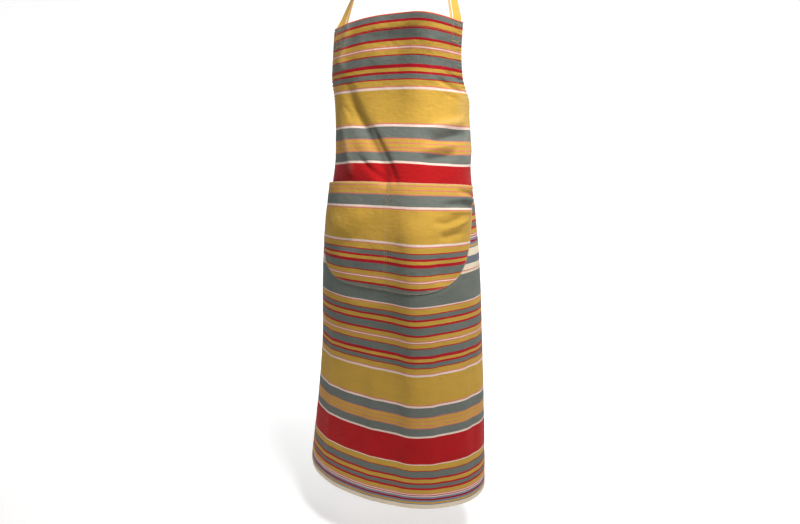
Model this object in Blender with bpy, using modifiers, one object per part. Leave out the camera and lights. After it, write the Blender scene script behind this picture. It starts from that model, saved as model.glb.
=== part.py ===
"""Long bib apron in striped woven cotton, held in the shape it takes on a standing wearer.

Metres, +Z up, the apron's front faces -Y. The origin is the middle of the neck strap at the nape.
Every piece of cloth is flat in (u, v): u runs across from the centre line and v down from the bib's
top edge, both measured along the cloth. place() bends a flat piece round the body form, a stack of
superellipse rings, and lift moves it off the form's surface, outwards when positive.
"""

import math

import bpy
import numpy as np

# ------------------------------------------------------------------ driving dimensions
LENGTH = 1.080             # front panel, from the bib's top edge to the hem
BIB_HALF = 0.150           # half of the bib's top edge
SKIRT_HALF = 0.360         # half of the skirt's full width
ARMHOLE_DEPTH = 0.285      # where the armhole curve reaches the full width
ARMHOLE_POWER = 2.6        # how late the armhole curve flares
CLOTH = 0.0012             # thickness of one layer
GAP = 0.0006               # air between stacked layers
TOP_HEM = 0.030
BOTTOM_HEM = 0.020
EDGE_HEM = 0.012           # armhole and side hems
STRAP_WIDTH = 0.025
STRAP_U = 0.134            # strap middle, from the centre line
STRAP_TAB = 0.045          # sewn length behind the bib
STRAP_RISE = 0.003         # the free strap starts this far above the top edge
FOLD_RISE = 0.010          # and folds over this far above it
POCKET_TOP = 0.334         # pocket mouth, down from the bib's top edge
POCKET_DEPTH = 0.221
POCKET_HALF = 0.213
POCKET_POWER = 4.0         # superellipse power of the pocket's U
POCKET_STAND = 0.0032      # pocket's stitched edge, above the panel's face
POCKET_HEM = 0.024
POCKET_GAPE = {-1: 0.019, 1: 0.028}    # how far each half of the mouth stands open
TIE_V = 0.300              # middle of the waist ties, down the cloth
TIE_WIDTH = 0.025
TIE_OVERLAP = 0.032        # sewn length of each tie on the panel
TIE_ANGLE = 174            # where a tie meets the knot, degrees round from the front
KNOT_RADIUS = 0.013
STITCH = 0.0010            # height of the tacks' raised thread
TACK_WIDTH = 0.0025
TACK_INSET = 0.006         # corner and tie tacks, in from the edge that they hold
TACK_HALF = 0.009          # half length of the strap and tie tacks

# ------------------------------------------------------------------ body form
NECK_RISE = 0.150          # bib's top edge below the nape
CENTRE_SHIFT = 0.010       # the apron sits this far off the body's middle, round the form
FORM_POWER = 2.2
BACK_DEPTH = 0.090         # half depth of the form behind the wearer's sides
KNEE_X = 0.075             # middle of the forward leg's ridge
KNEE_WIDTH = 0.050
RIDGE_FADE = 0.5           # share of the front's depth over which the ridge fades out at the sides
DROOP_SPAN = 0.150
DOWN = (0.00, 0.14, 0.30, 0.44, 0.76, 1.08)              # stations, down the cloth
FRONT_Y = (-0.190, -0.170, -0.205, -0.225, -0.190, -0.160)
HALF_WIDTH = (0.165, 0.150, 0.155, 0.175, 0.200, 0.230)
HALF_DEPTH = (0.090, 0.115, 0.145, 0.145, 0.155, 0.165)
SHIFT_X = (0.000, -0.020, -0.015, -0.015, -0.025, -0.045)
DROOP = (0.024, 0.006, 0.010, 0.002, -0.002, -0.004)     # how far the sides hang below the middle
RIDGE = (0.035, 0.020, 0.005, 0.030, 0.025, 0.000)       # chest, then the forward leg
TURN = (-0.07, -0.11, -0.18, -0.17, -0.17, -0.18)        # slope of the front across the body

# Neck strap: points from the left strap end's side to the nape; the right side mirrors them.
NECK_POINTS = ((-0.098, -0.116, -0.085), (-0.078, -0.070, -0.026), (-0.048, -0.020, 0.002))
# The way the strap faces, from its left end to the nape.
NECK_FACING = ((-0.45, -0.85, 0.25), (-0.75, -0.40, 0.50), (-0.80, 0.05, 0.60), (-0.55, 0.62, 0.55),
               (0.00, 0.90, 0.43))

# Bow, from the knot's middle: the right loop out and back, the way its cloth faces, and the right tail.
BOW_WIDTH = 0.022
BOW_LOOP = ((0.015, 0.002, 0.009), (0.045, 0.000, 0.012), (0.080, 0.002, -0.008), (0.098, 0.010, -0.034),
            (0.082, 0.019, -0.028), (0.046, 0.020, 0.001), (0.016, 0.010, 0.006))
BOW_FACING = ((0.0, -1.0, 0.0), (0.0, -1.0, 0.0), (0.15, -1.0, 0.1), (0.75, 0.0, -0.65),
              (0.0, 1.0, 0.1), (0.0, 1.0, 0.0), (0.0, 1.0, 0.0))
TIE_TAIL = ((0.013, 0.004, -0.015), (0.016, 0.006, -0.050), (0.023, 0.007, -0.120),
            (0.031, 0.008, -0.210))

COTTON = (0.52, 0.34, 0.08)
RED = (0.35, 0.01, 0.02)
CREAM = (0.73, 0.61, 0.46)


# ------------------------------------------------------------------ the form's geometry
def along(values, v):
    """Smooth value at distance v down the cloth, through the stations."""
    knots = np.array(DOWN)
    values = np.array(values, dtype=float)
    slope = np.gradient(values, knots)
    i = np.clip(np.searchsorted(knots, v, side="right") - 1, 0, len(knots) - 2)
    h = knots[i + 1] - knots[i]
    q = (v - knots[i]) / h
    start = (2 * q**3 - 3 * q**2 + 1) * values[i] + (q**3 - 2 * q**2 + q) * h * slope[i]
    return start + (3 * q**2 - 2 * q**3) * values[i + 1] + (q**3 - q**2) * h * slope[i + 1]


def fall(v):
    """Height lost at distance v down the cloth, when the front leans but the cloth doesn't stretch."""
    samples = np.linspace(-0.02, LENGTH, 221)
    lean = np.gradient(along(FRONT_Y, samples), samples)
    upright = np.sqrt(1.0 - lean**2)
    total = np.concatenate([[0.0], np.cumsum((upright[1:] + upright[:-1]) / 2 * np.diff(samples))])
    return np.interp(v, samples, total) - np.interp(0.0, samples, total)


def ring(v, t):
    """Points of the form at distance v down the cloth and angle t from the front."""
    sine, cosine = np.sin(t), np.cos(t)
    s = np.sign(sine) * np.abs(sine) ** (2 / FORM_POWER)
    c = np.sign(cosine) * np.abs(cosine) ** (2 / FORM_POWER)
    x = along(HALF_WIDTH, v) * s
    depth = along(HALF_DEPTH, v)
    y = along(FRONT_Y, v) + depth - np.where(c > 0, depth, BACK_DEPTH) * c
    fade = np.clip(c / RIDGE_FADE, 0.0, 1.0)
    bump = np.exp(-(((x - KNEE_X) / KNEE_WIDTH) ** 2)) * fade**2 * (3 - 2 * fade)
    y = y - along(RIDGE, v) * bump
    y = y + along(TURN, v) * x
    z = -NECK_RISE - fall(v) - along(DROOP, v) * (x / DROOP_SPAN) ** 2
    return np.stack([x + along(SHIFT_X, v), y, z], axis=-1)


def angle_at(u, v):
    """Angle round the form of the cloth point (u, v)."""
    t = np.radians(np.linspace(-175, 175, 351))
    found = np.empty(len(u))
    for i in range(len(u)):
        points = ring(np.full(len(t), v[i]), t)
        steps = np.linalg.norm(np.diff(points, axis=0), axis=1)
        arc = np.concatenate([[0.0], np.cumsum(steps)])
        arc = arc - arc[len(t) // 2]
        found[i] = np.interp(u[i] + CENTRE_SHIFT, arc, t)
    return found


def outward(v, t):
    """Unit normals of the form, pointing away from the body."""
    down = ring(v + 0.001, t) - ring(v - 0.001, t)
    across = ring(v, t + 0.004) - ring(v, t - 0.004)
    normal = np.cross(down, across)
    return normal / np.linalg.norm(normal, axis=-1, keepdims=True)


def place(u, v, lift):
    u, v = np.asarray(u, dtype=float), np.asarray(v, dtype=float)
    t = angle_at(u, v)
    return ring(v, t) + outward(v, t) * np.broadcast_to(lift, u.shape)[:, None]


def half_width(v):
    """Half of the panel's width: the armhole curve, then the straight sides."""
    q = np.clip(np.asarray(v) / ARMHOLE_DEPTH, 0.0, 1.0)
    return BIB_HALF + (SKIRT_HALF - BIB_HALF) * q**ARMHOLE_POWER


# ------------------------------------------------------------------ Blender helpers
def make_material(name, colour, roughness=0.85):
    material = bpy.data.materials.new(name)
    material.use_nodes = True
    shader = material.node_tree.nodes["Principled BSDF"]
    shader.inputs["Base Color"].default_value = (*colour, 1.0)
    shader.inputs["Roughness"].default_value = roughness
    shader.inputs["Metallic"].default_value = 0.0
    return material


def finish(obj, name, colour, pivot=(0.0, 0.0, 0.0)):
    """Name the object, give it its material and put its origin on the pivot."""
    obj.name = name
    obj.data.name = name
    count = len(obj.data.vertices)
    points = np.empty(count * 3)
    obj.data.vertices.foreach_get("co", points)
    points = points.reshape(-1, 3) - np.array(pivot)
    obj.data.vertices.foreach_set("co", points.ravel())
    obj.location = pivot
    obj.data.materials.append(make_material(name, colour))
    obj.data.shade_smooth()
    obj.data.set_sharp_from_angle(angle=math.radians(40))
    obj.data.update()
    for old in list(obj.users_collection):
        old.objects.unlink(obj)
    parts.objects.link(obj)
    return obj


def sheet(name, across, down, shape, colour, thickness=CLOTH, pivot=(0.0, 0.0, 0.0)):
    """A layer of cloth: a grid whose columns and rows go through shape(columns, rows) to world points.

    across and down list the column and row values; the thickness is laid on the outer side.
    """
    bpy.ops.mesh.primitive_grid_add(x_subdivisions=len(across) - 1, y_subdivisions=len(down) - 1, size=2)
    obj = bpy.context.object
    flat = np.array([vertex.co[:] for vertex in obj.data.vertices])
    i = np.rint((flat[:, 0] + 1) / 2 * (len(across) - 1)).astype(int)
    j = np.rint((1 - flat[:, 1]) / 2 * (len(down) - 1)).astype(int)
    world = shape(np.asarray(across)[i], np.asarray(down)[j])
    obj.data.vertices.foreach_set("co", world.ravel())
    finish(obj, name, colour, pivot)
    solid = obj.modifiers.new("thickness", "SOLIDIFY")
    solid.thickness = thickness
    solid.offset = 1.0
    return obj


def curve_through(points, count):
    """Evenly spaced points on a smooth curve through the given ones, and its unit tangents."""
    points = np.array(points, dtype=float)
    chord = np.concatenate([[0.0], np.cumsum(np.linalg.norm(np.diff(points, axis=0), axis=1))])
    slope = np.gradient(points, chord, axis=0)
    fine = np.linspace(0.0, chord[-1], count * 8)
    i = np.clip(np.searchsorted(chord, fine, side="right") - 1, 0, len(chord) - 2)
    h = (chord[i + 1] - chord[i])[:, None]
    q = ((fine - chord[i]) / h[:, 0])[:, None]
    first = (2 * q**3 - 3 * q**2 + 1) * points[i] + (q**3 - 2 * q**2 + q) * h * slope[i]
    path = first + (3 * q**2 - 2 * q**3) * points[i + 1] + (q**3 - q**2) * h * slope[i + 1]
    arc = np.concatenate([[0.0], np.cumsum(np.linalg.norm(np.diff(path, axis=0), axis=1))])
    even = np.linspace(0.0, arc[-1], count)
    path = np.stack([np.interp(even, arc, path[:, k]) for k in range(3)], axis=1)
    tangent = np.gradient(path, axis=0)
    return path, tangent / np.linalg.norm(tangent, axis=1, keepdims=True)


def ribbon(name, points, facing, width, colour, count, pivot=(0.0, 0.0, 0.0)):
    """A flat strap along a smooth curve; facing lists the strap's outer side at each given point."""
    path, tangent = curve_through(points, count)
    share = np.linspace(0.0, 1.0, count)
    known = np.linspace(0.0, 1.0, len(facing))
    outer = np.stack([np.interp(share, known, np.array(facing)[:, k]) for k in range(3)], axis=1)
    side = np.cross(outer, tangent)
    side = side / np.linalg.norm(side, axis=1, keepdims=True)

    def shape(across, down):
        row = down.astype(int)
        return path[row] + side[row] * across[:, None]

    columns = np.linspace(-width / 2, width / 2, 3)
    return sheet(name, columns, np.arange(count), shape, colour, CLOTH, pivot)


def patch(name, u_range, v_range, lift, colour, cells=(2, 4)):
    """A small rectangle of cloth laid on the form."""
    columns = np.linspace(u_range[0], u_range[1], cells[0] + 1)
    rows = np.linspace(v_range[0], v_range[1], cells[1] + 1)
    return sheet(name, columns, rows, lambda u, v: place(u, v, lift), colour)


def thread_bar(name, start, end, width, lift, colour):
    """A tack: a raised bar of dense stitching from start to end, both (u, v), on the form."""
    ends = place([start[0], end[0]], [start[1], end[1]], lift)
    u, v = np.array([start[0]]), np.array([start[1]])
    normal = outward(v, angle_at(u, v))[0]
    span = np.linalg.norm(ends[1] - ends[0])
    along_bar = (ends[1] - ends[0]) / span
    sideways = np.cross(normal, along_bar)
    sideways = sideways / np.linalg.norm(sideways)
    upwards = np.cross(along_bar, sideways)
    bpy.ops.mesh.primitive_cube_add(size=1)
    bar = bpy.context.object
    for vertex in bar.data.vertices:
        x, y, z = vertex.co
        vertex.co = ends.mean(axis=0) + along_bar * x * span + sideways * y * width + upwards * z * STITCH
    finish(bar, name, colour)


# ------------------------------------------------------------------ sub-parts
def panel_columns(v):
    """Column positions as a share of the half width, with a column on each hem line at v."""
    hem = 1.0 - EDGE_HEM / half_width(v)
    inner = np.linspace(-1.0, 1.0, COLUMN_COUNT - 2)
    return np.concatenate([[-1.0], inner * hem, [1.0]])


COLUMN_COUNT = 39
PANEL_ROWS = np.concatenate([
    [0.0, TOP_HEM],
    np.linspace(TOP_HEM, ARMHOLE_DEPTH, 11)[1:],
    np.linspace(ARMHOLE_DEPTH, LENGTH - BOTTOM_HEM, 21)[1:],
    [LENGTH],
])


def panel_points(column, v, lift):
    """World points of panel column numbers at rows v, so that hems meet the panel's own facets."""
    u = np.array([panel_columns(row)[int(c)] * half_width(row) for c, row in zip(column, v)])
    return place(u, v, lift)


def make_panel():
    columns = np.arange(COLUMN_COUNT)
    sheet("front_panel", columns, PANEL_ROWS, lambda c, v: panel_points(c, v, 0.0), COTTON)


def make_hems():
    inside = -(CLOTH + GAP)
    columns = np.arange(COLUMN_COUNT)
    sheet("top_hem", columns, [0.0, TOP_HEM], lambda c, v: panel_points(c, v, inside), RED)
    bottom = [LENGTH - BOTTOM_HEM, LENGTH]
    sheet("bottom_hem", columns, bottom, lambda c, v: panel_points(c, v, inside), CREAM)
    rows = PANEL_ROWS[1:-1]
    armhole = rows[rows < ARMHOLE_DEPTH + 1e-6].copy()
    side = rows[rows > ARMHOLE_DEPTH - 1e-6].copy()
    for strip in (armhole, side):
        strip[0] += GAP / 2
        strip[-1] -= GAP / 2
    for label, edge in (("left", [0, 1]), ("right", [COLUMN_COUNT - 2, COLUMN_COUNT - 1])):
        shape = lambda c, v: panel_points(c, v, inside)
        sheet("armhole_hem_" + label, edge, armhole, shape, COTTON)
        sheet("side_hem_" + label, edge, side, shape, COTTON)


def pocket_lift(x, y):
    """How far the pocket stands off the panel, x across (-1 to 1) and y down (0 to 1)."""
    half = np.abs(x)
    belly = np.sin(np.pi * np.clip(half, 0, 1)) * (1 - y)
    gape = np.where(x < 0, POCKET_GAPE[-1], POCKET_GAPE[1])
    return POCKET_STAND + gape * belly


def pocket_points(x, y, inset):
    """World points of the pocket, whose sides follow a superellipse below the mouth."""
    v = POCKET_TOP + y * POCKET_DEPTH
    u = x * POCKET_HALF * (1 - y**POCKET_POWER) ** (1 / POCKET_POWER)
    return place(u, v, pocket_lift(x, y) - inset)


def make_pocket():
    inner = np.linspace(-0.95, 0.95, 25)
    columns = np.concatenate([[-1.0], inner, [1.0]])
    hem = POCKET_HEM / POCKET_DEPTH
    rows = np.concatenate([[0.0], hem + (0.985 - hem) * np.sin(np.linspace(0.0, math.pi / 2, 13))])
    sheet("pocket", columns, rows, lambda x, y: pocket_points(x, y, 0.0), COTTON)
    inset = CLOTH + GAP
    sheet("pocket_top_hem", inner, rows[:2], lambda x, y: pocket_points(x, y, inset), COTTON)


def make_tacks():
    """Bar tacks where the pocket, the straps and the ties take their load."""
    on_panel = CLOTH + STITCH / 2 + GAP / 2
    edge = np.array([0.0, 1.0 - TACK_INSET / POCKET_HALF])
    middle_lift, corner_lift = pocket_lift(edge, np.zeros(2)) + on_panel + GAP
    thread_bar("pocket_centre_tack", (0.0, POCKET_TOP + 0.004), (0.0, POCKET_TOP + 0.028), TACK_WIDTH,
               middle_lift, CREAM)
    for label, side in (("left", -1), ("right", 1)):
        u = side * (POCKET_HALF - TACK_INSET)
        thread_bar("pocket_corner_tack_" + label, (u, POCKET_TOP + 0.003), (u, POCKET_TOP + 0.015),
                   TACK_WIDTH, corner_lift, CREAM)
        u, v = side * STRAP_U, STRAP_TAB - 0.004
        thread_bar("strap_tack_" + label, (u - TACK_HALF, v), (u + TACK_HALF, v), TACK_WIDTH, on_panel,
                   CREAM)
        u = side * (SKIRT_HALF - TIE_OVERLAP + TACK_INSET)
        thread_bar("tie_tack_" + label, (u, TIE_V - TACK_HALF), (u, TIE_V + TACK_HALF), TACK_WIDTH,
                   on_panel, CREAM)


def strap_point(side, lift, rise):
    """A point in the middle of a strap's width, at its lift off the form and above the top edge."""
    return place([side * STRAP_U], [0.0], lift)[0] + np.array([0.0, 0.0, rise])


def make_strap():
    """The strap's sewn ends behind the bib, and the free loop, whose origin is on its fold line."""
    behind = -2 * (CLOTH + GAP)
    for label, side in (("left", -1), ("right", 1)):
        span = sorted((side * (STRAP_U - STRAP_WIDTH / 2), side * (STRAP_U + STRAP_WIDTH / 2)))
        patch("strap_tab_" + label, span, (0.002, STRAP_TAB), behind, COTTON)
    left, right = [strap_point(side, behind - CLOTH, STRAP_RISE) for side in (-1, 1)]
    points = [left, *NECK_POINTS, (0.0, 0.0, 0.0)]
    points = points + [(-x, y, z) for x, y, z in reversed(NECK_POINTS)] + [right]
    facing = [*NECK_FACING] + [(-x, y, z) for x, y, z in reversed(NECK_FACING[:-1])]
    pivot = sum(strap_point(side, behind - CLOTH / 2, FOLD_RISE) for side in (-1, 1)) / 2
    ribbon("neck_loop", points, facing, STRAP_WIDTH, COTTON, 41, pivot)


def knot_centre():
    back = ring(np.array([TIE_V]), np.array([math.pi]))[0]
    return back + np.array([0.0, KNOT_RADIUS + 0.002, 0.0])


def make_ties():
    """Waist ties from the skirt's corners round the back to the knot."""
    knot = knot_centre()
    inner = -3 * (CLOTH + GAP)
    for label, side in (("left", -1), ("right", 1)):
        u0 = side * (SKIRT_HALF - TIE_OVERLAP)
        start = angle_at(np.array([u0]), np.array([TIE_V]))[0]
        angles = np.linspace(start, side * math.radians(TIE_ANGLE), 15)
        down = np.full(len(angles), TIE_V)
        points = ring(down, angles) + outward(down, angles) * inner
        facing = outward(down, angles)
        ribbon("tie_" + label, points, facing, TIE_WIDTH, COTTON, 21)
    bpy.ops.mesh.primitive_uv_sphere_add(segments=20, ring_count=12, radius=KNOT_RADIUS)
    ball = bpy.context.object
    for vertex in ball.data.vertices:
        vertex.co = np.array(vertex.co) + knot
    finish(ball, "bow_knot", COTTON)


def make_bow():
    """Two drooping loops and two hanging tails, each with its origin at the knot."""
    knot = knot_centre()
    for label, side in (("left", -1), ("right", 1)):
        points = [knot + np.array([side * x, y, z]) for x, y, z in BOW_LOOP]
        facing = [(side * x, y, z) for x, y, z in BOW_FACING]
        ribbon("bow_loop_" + label, points, facing, BOW_WIDTH, COTTON, 31, knot)
        points = [knot + np.array([side * x, y, z]) for x, y, z in TIE_TAIL]
        ribbon("tie_tail_" + label, points, [(0.0, 1.0, 0.0)] * len(points), BOW_WIDTH, COTTON, 13, knot)


for old_object in list(bpy.data.objects):
    bpy.data.objects.remove(old_object)
parts = bpy.data.collections.new("bib_apron")
bpy.context.scene.collection.children.link(parts)

make_panel()
make_hems()
make_pocket()
make_tacks()
make_strap()
make_ties()
make_bow()
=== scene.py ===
import math

import bmesh
import bpy
import numpy as np
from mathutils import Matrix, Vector, noise


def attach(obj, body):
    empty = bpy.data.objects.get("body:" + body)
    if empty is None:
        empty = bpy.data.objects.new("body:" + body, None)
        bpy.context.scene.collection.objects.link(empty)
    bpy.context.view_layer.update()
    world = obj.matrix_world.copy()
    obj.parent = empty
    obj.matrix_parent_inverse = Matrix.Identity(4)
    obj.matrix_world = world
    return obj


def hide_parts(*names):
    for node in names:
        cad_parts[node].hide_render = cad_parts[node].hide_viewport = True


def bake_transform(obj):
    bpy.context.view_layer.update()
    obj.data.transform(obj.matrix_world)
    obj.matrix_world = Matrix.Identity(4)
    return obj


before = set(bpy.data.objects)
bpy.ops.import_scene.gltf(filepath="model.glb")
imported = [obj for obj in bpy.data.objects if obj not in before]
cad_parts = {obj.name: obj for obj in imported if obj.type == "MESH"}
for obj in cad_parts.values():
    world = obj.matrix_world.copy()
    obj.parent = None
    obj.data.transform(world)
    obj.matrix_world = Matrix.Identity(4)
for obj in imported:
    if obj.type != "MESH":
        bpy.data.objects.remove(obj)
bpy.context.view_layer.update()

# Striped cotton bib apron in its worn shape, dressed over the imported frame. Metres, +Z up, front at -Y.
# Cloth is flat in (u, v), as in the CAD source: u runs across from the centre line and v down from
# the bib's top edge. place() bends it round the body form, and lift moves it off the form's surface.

# ---------- sizes, as in the CAD source
LENGTH = 1.080
BIB_HALF = 0.150
SKIRT_HALF = 0.360
ARMHOLE_DEPTH = 0.285
ARMHOLE_POWER = 2.6
CLOTH = 0.0012
GAP = 0.0006
TOP_HEM = 0.030
BOTTOM_HEM = 0.020
EDGE_HEM = 0.012
STRAP_WIDTH = 0.025
STRAP_U = 0.134
STRAP_TAB = 0.045
STRAP_RISE = 0.003
POCKET_TOP = 0.334
POCKET_DEPTH = 0.221
POCKET_HALF = 0.213
POCKET_HEM = 0.024
TIE_V = 0.300
TIE_WIDTH = 0.025
TIE_OVERLAP = 0.032
TIE_ANGLE = 174
TACK_INSET = 0.006
KNOT_RADIUS = 0.013
NECK_RISE = 0.150
CENTRE_SHIFT = 0.010
FORM_POWER = 2.2
BACK_DEPTH = 0.090
KNEE_X = 0.075
KNEE_WIDTH = 0.050
RIDGE_FADE = 0.5
DROOP_SPAN = 0.150
DOWN = (0.00, 0.14, 0.30, 0.44, 0.76, 1.08)
FRONT_Y = (-0.190, -0.170, -0.205, -0.225, -0.190, -0.160)
HALF_WIDTH = (0.165, 0.150, 0.155, 0.175, 0.200, 0.230)
HALF_DEPTH = (0.090, 0.115, 0.145, 0.145, 0.155, 0.165)
SHIFT_X = (0.000, -0.020, -0.015, -0.015, -0.025, -0.045)
DROOP = (0.024, 0.006, 0.010, 0.002, -0.002, -0.004)
RIDGE = (0.035, 0.020, 0.005, 0.030, 0.025, 0.000)
TURN = (-0.07, -0.11, -0.18, -0.17, -0.17, -0.18)
NECK_POINTS = ((-0.098, -0.116, -0.085), (-0.078, -0.070, -0.026), (-0.048, -0.020, 0.002))
NECK_FACING = ((-0.45, -0.85, 0.25), (-0.75, -0.40, 0.50), (-0.80, 0.05, 0.60), (-0.55, 0.62, 0.55),
               (0.00, 0.90, 0.43))
BOW_WIDTH = 0.022
BOW_LOOP = ((0.015, 0.002, 0.009), (0.045, 0.000, 0.012), (0.080, 0.002, -0.008), (0.098, 0.010, -0.034),
            (0.082, 0.019, -0.028), (0.046, 0.020, 0.001), (0.016, 0.010, 0.006))
BOW_FACING = ((0.0, -1.0, 0.0), (0.0, -1.0, 0.0), (0.15, -1.0, 0.1), (0.75, 0.0, -0.65),
              (0.0, 1.0, 0.1), (0.0, 1.0, 0.0), (0.0, 1.0, 0.0))
TIE_TAIL = ((0.013, 0.004, -0.015), (0.016, 0.006, -0.050), (0.023, 0.007, -0.120),
            (0.031, 0.008, -0.210))
SIDES = (("left", -1), ("right", 1))

# ---------- the real cloth's own sizes
SKIN = 0.0007               # one layer of cotton
MID = CLOTH / 2             # the panel's middle surface, off the form
ROLL = 0.0009               # radius of a folded hem's edge
POCKET_MID = 0.0026         # the pocket's middle surface at its stitched edge
POCKET_ROLL = 0.0005
POCKET_GAPE = {-1: 0.017, 1: 0.021}     # how far each mouth of the pocket stands open
POCKET_DROOP = 0.0055       # how much lower the mouth's corners hang than its middle
POCKET_STRIPES = (0.2697, 0.2328)   # where its top lies in the stripe pattern, and how much it spans
POCKET_SHIFT = 0.013        # how far to one side the pocket was cut
POCKET_TURN = 0.009         # the cloth turned in along its stitched edge
REPEAT = 0.5987             # one repeat of the stripes
STITCH_PITCH = 0.0036
STITCH_LENGTH = 0.0029
STITCH_RADIUS = 0.00024
SATIN_PITCH = 0.00062       # the bar tacks' stitches lie side by side, and are a little thicker
SATIN_RADIUS = 0.00034
ROW_INSET = 0.0025          # from a hem's inner edge to its stitches
TAPE_ROW = 0.0024           # from a tape's edge to its stitches, and from the pocket's edge to its own
CENTRE_ROW = 0.0028         # from the pocket's middle to each row of its centre seam
TUCK = 0.0009               # how much lower a hem lies where another one crosses it
BOX_HALF = 0.0095           # half the width of the stitched boxes that hold the strap and the ties
TAPE = 0.0019               # the thickness of the neck strap and the ties
BOW_TAPE = 0.0017
CORNER_GAP = 0.0004         # a level hem stops this short of the corners
FLUTE = 0.088               # one wave of the flutes at the skirt's sides, along the cloth
PUCKER = 0.0076             # one wave of the puckers along the armholes
HEM_PUCKER = 0.00012        # how far a turned hem ripples
WEAVE = 0.0014              # one wave of the weave's bump
PICK = 0.0046               # from one darker weft yarn to the next


# ---------- lines of points
def unit(vectors):
    return vectors / np.linalg.norm(vectors, axis=-1, keepdims=True)


def arc_lengths(points):
    """Distance along a line of points, at each of them."""
    return np.concatenate([[0.0], np.cumsum(np.linalg.norm(np.diff(points, axis=0), axis=1))])


def resample(at, known, values):
    """Rows of values, known at some distances, read at others."""
    return np.stack([np.interp(at, known, column) for column in np.transpose(values)], axis=1)


def even(points, spacing):
    """Points at an even spacing along a line of them, of any dimension, and their distances along it."""
    arc = arc_lengths(points)
    at = np.linspace(0.0, arc[-1], max(2, int(round(arc[-1] / spacing)) + 1))
    return resample(at, arc, points), at


def smooth(low, high, x):
    q = np.clip((x - low) / (high - low), 0.0, 1.0)
    return q * q * (3 - 2 * q)


def hill(x, width):
    """1 where x is 0, falling away smoothly on both sides."""
    return np.exp(-((x / width) ** 2))


def smooth_through(knots, values, at):
    """Values on a smooth line through the ones known at the knots."""
    slope = np.gradient(values, knots)
    i = np.clip(np.searchsorted(knots, at, side="right") - 1, 0, len(knots) - 2)
    h = knots[i + 1] - knots[i]
    q = (at - knots[i]) / h
    start = (2 * q**3 - 3 * q**2 + 1) * values[i] + (q**3 - 2 * q**2 + q) * h * slope[i]
    return start + (3 * q**2 - 2 * q**3) * values[i + 1] + (q**3 - q**2) * h * slope[i + 1]


# ---------- body form, as in the CAD source
def along(values, v):
    """Value at distance v down the cloth, from its values at the stations."""
    return smooth_through(np.array(DOWN), np.array(values), v)


def fall(v):
    """Height lost at distance v down the cloth, when the front leans but the cloth doesn't stretch."""
    samples = np.linspace(-0.02, LENGTH, 221)
    lean = np.gradient(along(FRONT_Y, samples), samples)
    upright = np.sqrt(1.0 - lean**2)
    total = np.concatenate([[0.0], np.cumsum((upright[1:] + upright[:-1]) / 2 * np.diff(samples))])
    return np.interp(v, samples, total) - np.interp(0.0, samples, total)


def ring(v, t):
    """Points of the form at distance v down the cloth and angle t from the front."""
    sine, cosine = np.sin(t), np.cos(t)
    s = np.sign(sine) * np.abs(sine) ** (2 / FORM_POWER)
    c = np.sign(cosine) * np.abs(cosine) ** (2 / FORM_POWER)
    x = along(HALF_WIDTH, v) * s
    depth = along(HALF_DEPTH, v)
    y = along(FRONT_Y, v) + depth - np.where(c > 0, depth, BACK_DEPTH) * c
    fade = np.clip(c / RIDGE_FADE, 0.0, 1.0)
    bump = hill(x - KNEE_X, KNEE_WIDTH) * fade**2 * (3 - 2 * fade)
    y = y - along(RIDGE, v) * bump + along(TURN, v) * x
    z = -NECK_RISE - fall(v) - along(DROOP, v) * (x / DROOP_SPAN) ** 2
    return np.stack([x + along(SHIFT_X, v), y, z], axis=-1)


TABLE_V = np.linspace(-0.015, LENGTH + 0.015, 371)
TABLE_U = np.linspace(-0.41, 0.41, 411)


def angle_table():
    """Angle round the form for every (v, u) of the table, by the length of each ring's arc."""
    t = np.radians(np.linspace(-176, 176, 705))
    table = np.empty((len(TABLE_V), len(TABLE_U)))
    for i, v in enumerate(TABLE_V):
        arc = arc_lengths(ring(np.full(len(t), v), t))
        table[i] = np.interp(TABLE_U + CENTRE_SHIFT, arc - arc[len(t) // 2], t)
    return table


ANGLES = angle_table()


def angle_at(u, v):
    """Angle round the form of the cloth points (u, v)."""
    a = np.clip((v - TABLE_V[0]) / (TABLE_V[1] - TABLE_V[0]), 0, len(TABLE_V) - 1.001)
    b = np.clip((u - TABLE_U[0]) / (TABLE_U[1] - TABLE_U[0]), 0, len(TABLE_U) - 1.001)
    i, j = a.astype(int), b.astype(int)
    a, b = a - i, b - j
    low = ANGLES[i, j] * (1 - b) + ANGLES[i, j + 1] * b
    high = ANGLES[i + 1, j] * (1 - b) + ANGLES[i + 1, j + 1] * b
    return low * (1 - a) + high * a


def outward(v, t):
    """Unit normals of the form, pointing away from the body."""
    down = ring(v + 0.001, t) - ring(v - 0.001, t)
    across = ring(v, t + 0.004) - ring(v, t - 0.004)
    return unit(np.cross(down, across))


def place(u, v, lift):
    """World points of the cloth points (u, v), lifted off the form."""
    u, v = np.asarray(u, dtype=float), np.asarray(v, dtype=float)
    t = angle_at(u, v)
    return ring(v, t) + outward(v, t) * np.broadcast_to(lift, u.shape)[..., None]


def half_width(v):
    """Half of the panel's width: the armhole curve, then the straight sides."""
    q = np.clip(np.asarray(v) / ARMHOLE_DEPTH, 0.0, 1.0)
    return BIB_HALF + (SKIRT_HALF - BIB_HALF) * q**ARMHOLE_POWER


# ---------- folds and wrinkles
def wander(u, v, scale_u, scale_v, seed):
    """Smooth seeded noise, about -1 to 1, with one wave in scale_u by scale_v metres."""
    flat = zip(np.ravel(u / scale_u), np.ravel(v / scale_v))
    found = [noise.noise((a, b, seed)) for a, b in flat]
    return np.reshape(found, np.shape(u)) * 1.6


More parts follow.
